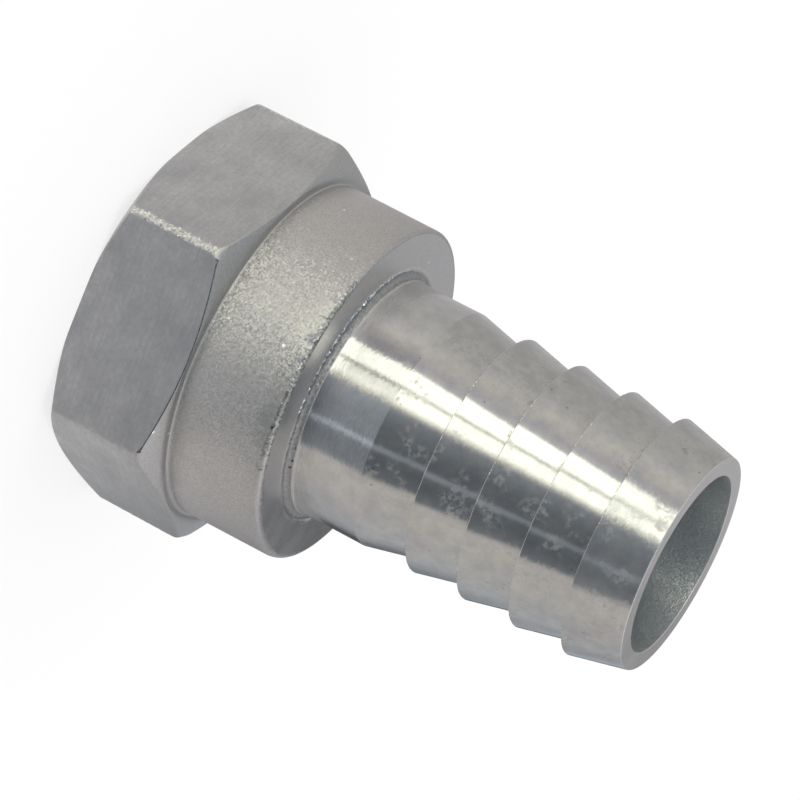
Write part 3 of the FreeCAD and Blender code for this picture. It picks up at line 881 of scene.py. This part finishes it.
def makeCards():
    half = studio["drumHalfHeight"]
    wide = studio["drumRadius"]
    mesh = cardSheet("cardDrum", [(1 * mm, -half), (wide, -half), (wide, half), (1 * mm, half)])
    material, tree = newMaterial("studioCards")
    share, level = cardAngle(tree)
    brightest = max(max(stop[1:4]) for stop in cardStops)
    columns = [[(stop[0], stop[column], stop[4]) for stop in cardStops] for column in (1, 2, 3)]
    bands = []
    for column in columns + [topStops]:
        stops = [rampStop(degrees, value, cardColours[hue], brightest) for degrees, value, hue in column]
        bands.append(addNode(tree, "ValToRGB", {"stops": stops}, {0: share}).outputs[0])
    colour = bands[0]
    for name, band in zip(("high", "upper", "top"), bands[1:]):
        low, high = cardLevels[name]
        reached = addNode(tree, "MapRange", {"From Min": low, "From Max": high}, {"Value": level})
        colour = addNode(tree, "Mix", {"data_type": "RGBA"}, {0: reached, 6: colour, 7: band})
    low, high = cardLevels["bottom"]
    reached = addNode(tree, "MapRange", {"From Min": low, "From Max": high}, {"Value": level})
    floorHue = [1 / brightest] * 3 + [1.0]
    colour = addNode(tree, "Mix", {"data_type": "RGBA", 7: floorHue}, {0: reached, 6: colour})
    glow = addNode(tree, "Emission", {"Strength": brightest}, {"Color": colour})
    addNode(tree, "OutputMaterial", {}, {"Surface": glow})
    mesh.materials.append(material)

    for name, card in nearCards.items():
        bottom, lowFull, highFull, top = card["levels"]
        mesh = cardSheet(name, [(card["radius"], bottom), (card["radius"], top)])
        material, tree = newMaterial(name)
        share, level = cardAngle(tree)
        brightest = max(stop[1] for stop in card["stops"])
        stops = [rampStop(degrees, value, cardColours[card["hue"]], brightest, cover)
                 for degrees, value, cover in card["stops"]]
        ramp = addNode(tree, "ValToRGB", {"stops": stops}, {0: share})
        rising = addNode(tree, "MapRange", {"From Min": bottom, "From Max": lowFull}, {"Value": level})
        falling = addNode(tree, "MapRange", {"From Min": top, "From Max": highFull}, {"Value": level})
        within = addNode(tree, "Math", {"operation": "MULTIPLY"}, {0: rising, 1: falling})
        cover = addNode(tree, "Math", {"operation": "MULTIPLY"}, {0: within, 1: ramp.outputs[1]})
        glow = addNode(tree, "Emission", {"Strength": brightest}, {"Color": ramp})
        clear = addNode(tree, "BsdfTransparent")
        mixed = addNode(tree, "MixShader", {}, {0: cover, 1: clear, 2: glow})
        addNode(tree, "OutputMaterial", {}, {"Surface": mixed})
        mesh.materials.append(material)


def makeFloor():
    # A wide white sheet that keeps a soft shadow: part glow, part diffuse
    mesh = bpy.data.meshes.new("floor")
    half = studio["floorHalf"]
    corners = [(-half, -half, 0), (half, -half, 0), (half, half, 0), (-half, half, 0)]
    mesh.from_pydata(corners, [], [(0, 1, 2, 3)])
    floor = bpy.data.objects.new("floor", mesh)
    bpy.context.scene.collection.objects.link(floor)
    material, tree = newMaterial("floor")
    diffuse = addNode(tree, "BsdfDiffuse", {"Color": (1, 1, 1, 1)})
    glow = addNode(tree, "Emission", {"Color": (1, 1, 1, 1), "Strength": studio["floorGlow"]})
    mixed = addNode(tree, "MixShader", {0: studio["floorGlowShare"]}, {1: diffuse, 2: glow})
    addNode(tree, "OutputMaterial", {}, {"Surface": mixed})
    mesh.materials.append(material)
    floor.visible_glossy = False


def makeWorld():
    # White all round
    world = bpy.data.worlds.new("studio")
    world.use_nodes = True
    tree = world.node_tree
    tree.nodes.clear()
    white = addNode(tree, "Background", {"Color": (1, 1, 1, 1), "Strength": 1.0})
    addNode(tree, "OutputWorld", {}, {"Surface": white})
    bpy.context.scene.world = world


def makeCamera():
    # Fitted to the photo's outline: its place, and its right and up in the object's frame
    data = bpy.data.cameras.new("camera")
    data.sensor_width = 36
    data.sensor_fit = "HORIZONTAL"
    data.lens = studio["lens"]
    data.clip_start = 0.01
    camera = bpy.data.objects.new("camera", data)
    right = np.array(studio["cameraRight"])
    up = np.array(studio["cameraUp"])
    matrix = np.eye(4)
    matrix[:3, 0] = right
    matrix[:3, 1] = up
    matrix[:3, 2] = np.cross(right, up)
    matrix[:3, 3] = studio["camera"]
    camera.matrix_world = mathutils.Matrix(matrix.tolist())
    bpy.context.scene.collection.objects.link(camera)
    bpy.context.scene.camera = camera


makeCamera()
makeWorld()
makeFloor()
makeCards()
print("studio ready")

nipple = makeNipple()
finishes = {
    "linished": linishedSteel("linishedSteel", linishing),
    "corner": blastedSteel("blastedCorner", cornerSkin),
    # The dark shoulder line: painted shade
    "line": blastedSteel("shoulderLinePaintedShade", shoulderShadeSkin),
    "chamfer": turnedSteel("chamferedSteel", chamferTurning),
    "shoulder": blastedSteel("castShoulder", shoulderSkin),
    "cast": blastedSteel("blastedSteel", collarSkin),
    "rim": blastedSteel("blastedRim", rimSkin),
    "faced": blastedSteel("castFace", faceSkin),
    # The burr's white torn finish: partly a painted glint
    "burr": blastedSteel("tornSteelPaintedGlint", tornGlintSkin),
    "ring": blastedSteel("tornRing", ringSkin),
    "step": blastedSteel("brightStep", stepSkin),
    "turned": turnedSteel("turnedSteel", plainTurning),
    "barb": turnedSteel("turnedBarbs", barbTurning),
    # The crests' bright burred finish: partly a painted glint
    "crest": blastedSteel("burredCrestPaintedGlint", crestSkin),
    "cut": blastedSteel("cutEnd", cutSkin),
    "bore": blastedSteel("castBore", boreSkin),
    "thread": turnedSteel("cutThread", threadTurning),
}
for name in finishNames:
    nipple.data.materials.append(finishes[name])
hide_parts("hose_nipple")
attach(nipple, "root")
print("nipple finished")

bpy.context.scene.view_settings.view_transform = "Standard"
